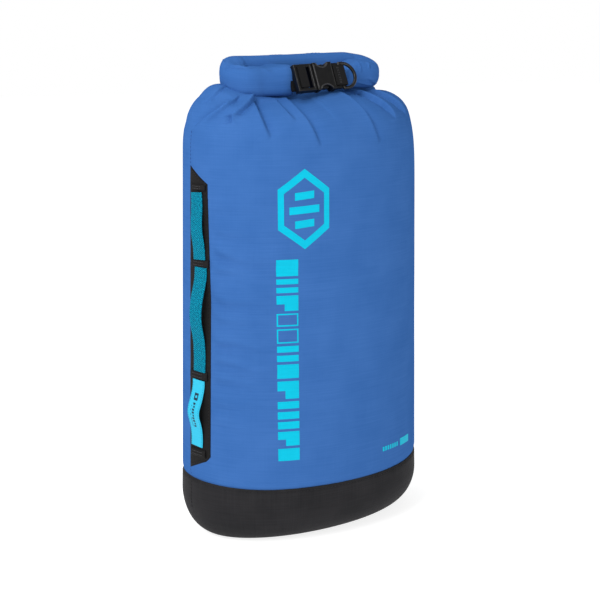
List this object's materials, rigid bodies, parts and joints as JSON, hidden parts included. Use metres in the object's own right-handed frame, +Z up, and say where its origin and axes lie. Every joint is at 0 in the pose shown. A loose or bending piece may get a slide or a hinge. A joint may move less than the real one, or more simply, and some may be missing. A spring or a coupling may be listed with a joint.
{
  "type": "dry bag",
  "caption": "Roll-top waterproof bag with an oval base, rolled and buckled closure, side lash loops and a D-ring.",
  "frame": {"origin": "on the floor under the middle of the oval base", "axes": "+Z up the bag to its roll, +X along the long axis of the oval, -Y towards the side with the buckle"},
  "size_m": [0.2714, 0.172, 0.4653],
  "materials": {
    "body_fabric": "satin",
    "base_fabric": "matte",
    "patch_fabric": "matte",
    "tab_fabric": "matte",
    "teal_webbing": "matte",
    "label_fabric": "satin",
    "buckle_plastic": "satin",
    "ring_plastic": "satin",
    "stiffener": "satin",
    "seam_tape": "satin"
  },
  "bodies": {
    "bag": {"body_panel": "body_fabric", "rolled_collar": "body_fabric", "collar_end_left": "body_fabric", "collar_end_right": "body_fabric", "base_band": "base_fabric", "base_panel": "base_fabric", "side_seam_tape_left": "seam_tape", "side_seam_tape_right": "seam_tape", "base_seam_tape": "seam_tape", "lip_stiffener_front": "stiffener", "lip_stiffener_back": "stiffener", "lash_patch_left": "patch_fabric", "lash_patch_right": "patch_fabric", "bar_tack_strips_left": "patch_fabric", "bar_tack_strips_right": "patch_fabric", "upper_lash_loop_left": "teal_webbing", "upper_lash_loop_right": "teal_webbing", "middle_lash_loop_left": "teal_webbing", "middle_lash_loop_right": "teal_webbing", "lower_lash_loop_right": "teal_webbing", "label_loop_left": "label_fabric", "buckle_female_body": "buckle_plastic", "buckle_tab_right": "tab_fabric"},
    "plug": {"buckle_male_frame": "buckle_plastic", "buckle_tab_left": "tab_fabric"},
    "prong_upper": {"buckle_prong_upper": "buckle_plastic"},
    "prong_lower": {"buckle_prong_lower": "buckle_plastic"},
    "ring": {"d_ring": "ring_plastic"}
  },
  "joints": [
    {"name": "buckle_release", "type": "slide", "parent": "bag", "child": "plug", "axis": [-0.999, 0, -0.0436], "range_m": [0, 0.026], "deforming": ["collar_end_left", "buckle_prong_upper", "buckle_prong_lower"]},
    {"name": "prong_squeeze_upper", "type": "hinge", "parent": "plug", "child": "prong_upper", "pos_m": [-0.01113, -0.03349, 0.44919], "axis": [0.017, 0.9205, -0.3904], "range_deg": [0, 12.5], "stiffness_Nm_per_rad": 0.05},
    {"name": "prong_squeeze_lower", "type": "hinge", "parent": "plug", "child": "prong_lower", "pos_m": [-0.01056, -0.03911, 0.43595], "axis": [0.017, 0.9205, -0.3904], "range_deg": [-12.5, 0], "stiffness_Nm_per_rad": 0.05},
    {"name": "d_ring_swing", "type": "hinge", "parent": "bag", "child": "ring", "pos_m": [0.02167, -0.0363, 0.44399], "axis": [0.0402, -0.3907, -0.9196], "range_deg": [0, 115]}
  ],
  "couplings": [
    {"joint": "prong_squeeze_lower", "follows": "prong_squeeze_upper", "ratio": -1}
  ]
}
